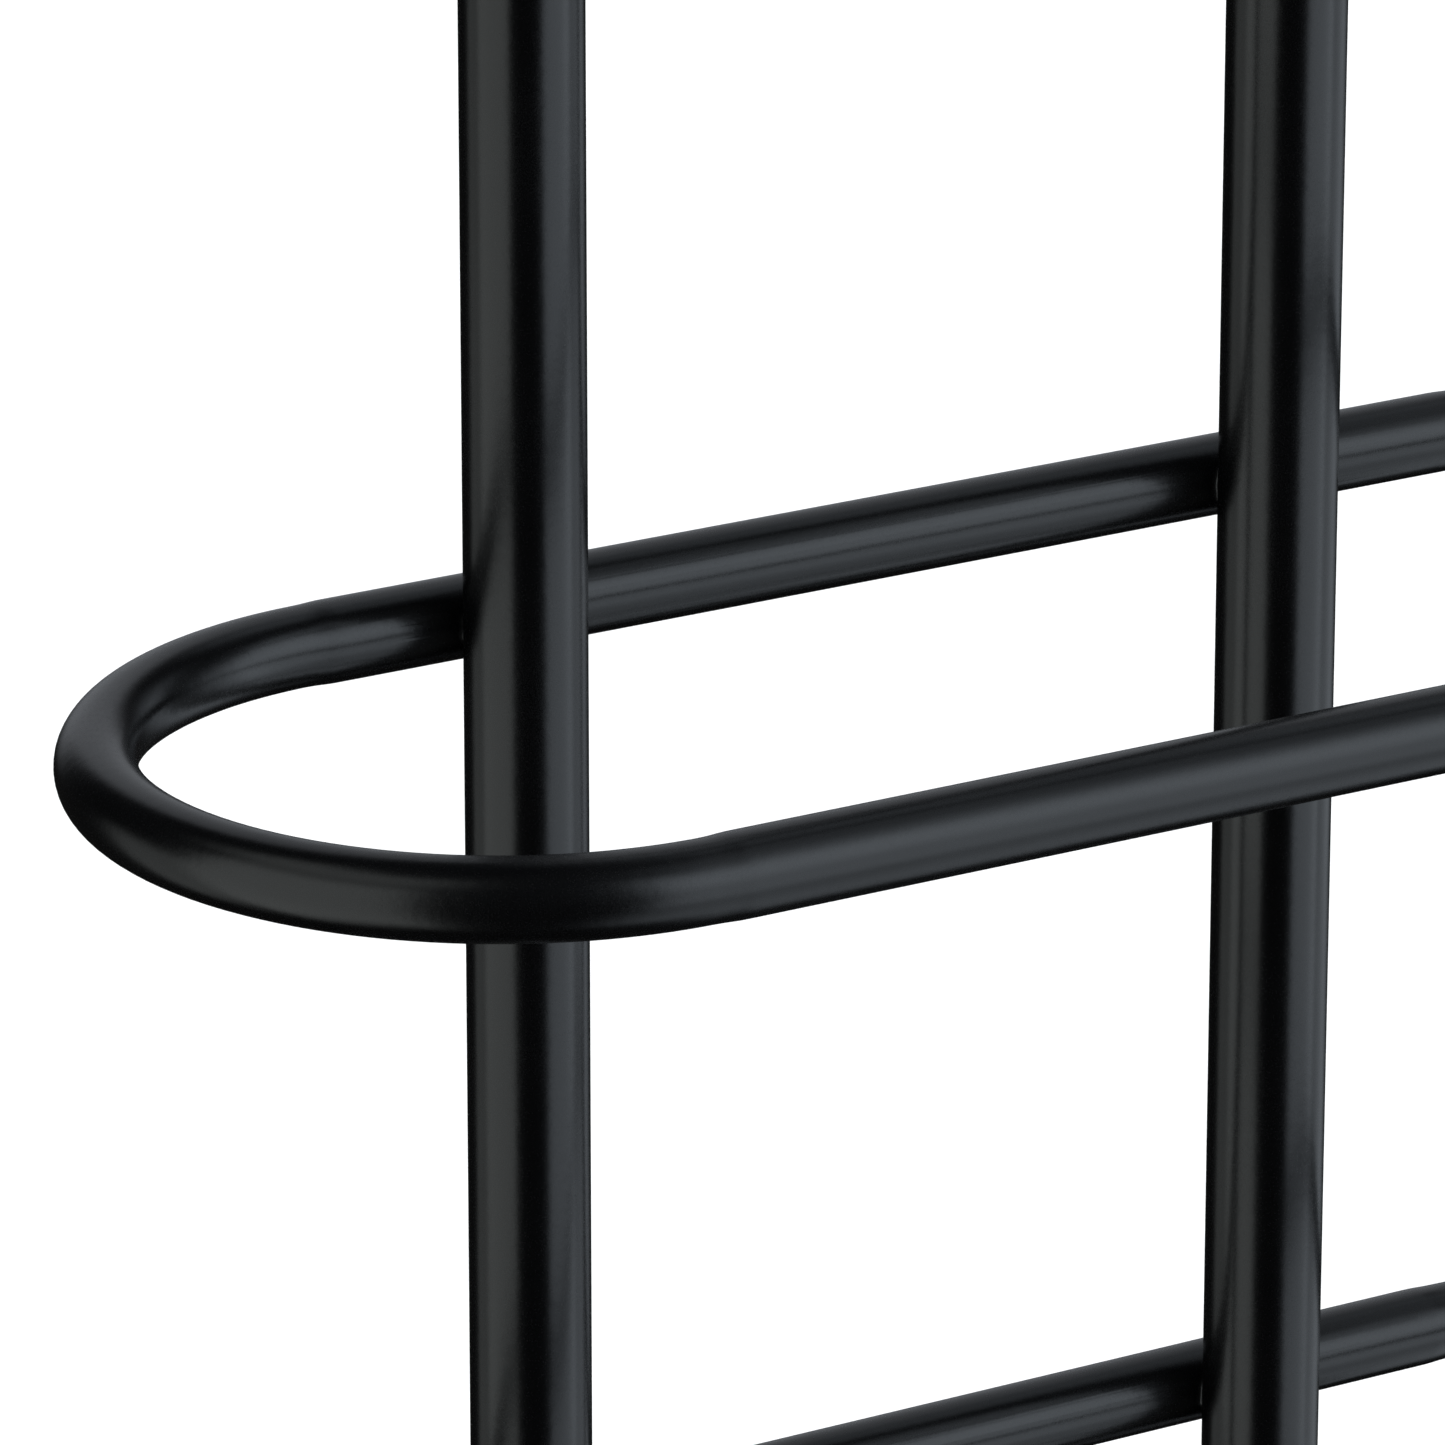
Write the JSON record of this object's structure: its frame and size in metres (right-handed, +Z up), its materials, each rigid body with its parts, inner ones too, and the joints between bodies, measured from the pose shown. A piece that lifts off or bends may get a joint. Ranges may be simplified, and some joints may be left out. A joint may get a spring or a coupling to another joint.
{
  "type": "towel warmer rack",
  "caption": "Wall-hung electric towel warmer: upright round posts carry racetrack towel hoops that stand out to the front, with wall brackets, an immersion element and a control head.",
  "frame": {"origin": "on the wall plane, in the middle of the four wall sockets, level with the middle hoop", "axes": "+Z up, +X along the rails to the right as seen from the room, +Y into the wall"},
  "size_m": [0.5055, 0.2455, 1.1721],
  "materials": {
    "powder_coat": "satin black powder coat with a fine orange peel",
    "brass": "turned brass, lightly dulled",
    "rubber": "moulded black rubber",
    "steel": "turned stainless steel",
    "ceramic": "pressed magnesia, matt",
    "head_plastic": "black moulded plastic with a fine spark texture",
    "knob_plastic": "black moulded plastic, satin",
    "gland_plastic": "black polyamide",
    "inner_plastic": "grey moulded plastic",
    "button_plastic": "grey moulded plastic, satin",
    "board": "green solder resist on glass fibre board",
    "lens": "clear amber lens"
  },
  "bodies": {
    "root": {"left_post": "powder_coat", "right_post": "powder_coat", "left_bottom_bush": "powder_coat", "right_bottom_bush": "powder_coat", "left_top_cap": "powder_coat", "right_top_cap": "powder_coat", "drain_plug": "powder_coat", "towel_hoop_1": "powder_coat", "towel_hoop_2": "powder_coat", "towel_hoop_3": "powder_coat", "towel_hoop_4": "powder_coat", "towel_hoop_5": "powder_coat", "left_upper_post_boss": "powder_coat", "left_upper_standoff": "powder_coat", "left_upper_wall_socket": "powder_coat", "left_lower_post_boss": "powder_coat", "left_lower_standoff": "powder_coat", "left_lower_wall_socket": "powder_coat", "right_upper_post_boss": "powder_coat", "right_upper_standoff": "powder_coat", "right_upper_wall_socket": "powder_coat", "right_lower_post_boss": "powder_coat", "right_lower_standoff": "powder_coat", "right_lower_wall_socket": "powder_coat", "air_vent_body": "brass", "element_plug": "brass", "element_locknut": "brass", "drain_plug_seal": "rubber", "element_seal": "rubber", "gland_seal": "rubber", "left_upper_grub_screw": "steel", "left_lower_grub_screw": "steel", "right_upper_grub_screw": "steel", "right_lower_grub_screw": "steel", "element_sheath": "steel", "temperature_sensor": "steel", "base_screw_1": "steel", "base_screw_2": "steel", "element_core": "ceramic", "control_housing": "head_plastic", "control_base": "head_plastic", "cable_gland": "gland_plastic", "gland_nut": "gland_plastic", "potentiometer": "inner_plastic", "terminal_block": "inner_plastic", "button_switch": "inner_plastic", "thermal_cutout": "inner_plastic", "circuit_board": "board", "indicator_lens": "lens"},
    "knob": {"thermostat_knob": "knob_plastic", "knob_shaft": "steel"},
    "button": {"power_button": "button_plastic"},
    "vent_screw": {"air_vent_screw": "brass"}
  },
  "joints": [
    {"name": "thermostat_turn", "type": "hinge", "parent": "root", "child": "knob", "pos_m": [0.101, -0.106, -0.5764], "axis": [0, 1, 0], "range_deg": [0, 270]},
    {"name": "power_press", "type": "slide", "parent": "root", "child": "button", "axis": [0, 1, 0], "range_m": [0, 0.0012], "stiffness_N_per_m": 600, "springref_m": -0.0015},
    {"name": "vent_screw_turn", "type": "hinge", "parent": "root", "child": "vent_screw", "pos_m": [-0.101, -0.08, 0.528], "axis": [0, 0, 1], "range_deg": [0, 180]}
  ]
}
